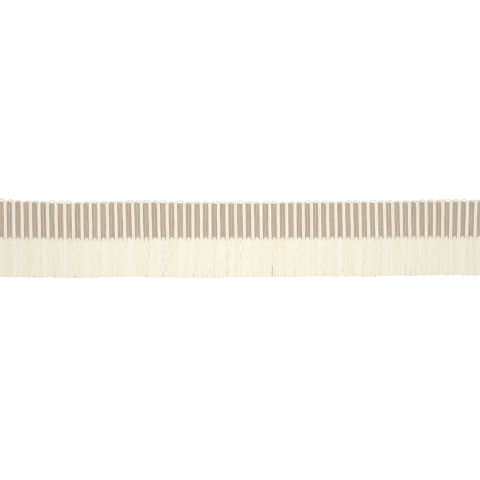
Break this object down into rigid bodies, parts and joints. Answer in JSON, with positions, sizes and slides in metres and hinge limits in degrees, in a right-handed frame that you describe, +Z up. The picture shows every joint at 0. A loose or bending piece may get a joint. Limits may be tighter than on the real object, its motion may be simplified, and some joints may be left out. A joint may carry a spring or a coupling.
{
  "type": "chainette fringe trim",
  "caption": "Flat woven trim: a heading of wide taupe and narrow ivory ribs with small loops along its top edge, and a short straight ivory fringe.",
  "frame": {"origin": "on the surface that the trim lies on, under the middle of the whole piece", "axes": "+X along the trim, +Y across it towards the looped edge, +Z up from the surface, out of the face"},
  "size_m": [0.3471, 0.0524, 0.0026],
  "materials": {
    "taupe_yarn": "matt cotton yarn, laid as raised ribs",
    "ivory_yarn": "matt cotton yarn, laid as narrow ribs and edge loops",
    "ivory_chainette": "soft matt chainette yarn, cut straight"
  },
  "bodies": {
    "root": {"heading_band": "taupe_yarn", "ivory_weft": "ivory_yarn", "chainette_fringe": "ivory_chainette"}
  },
  "joints": []
}
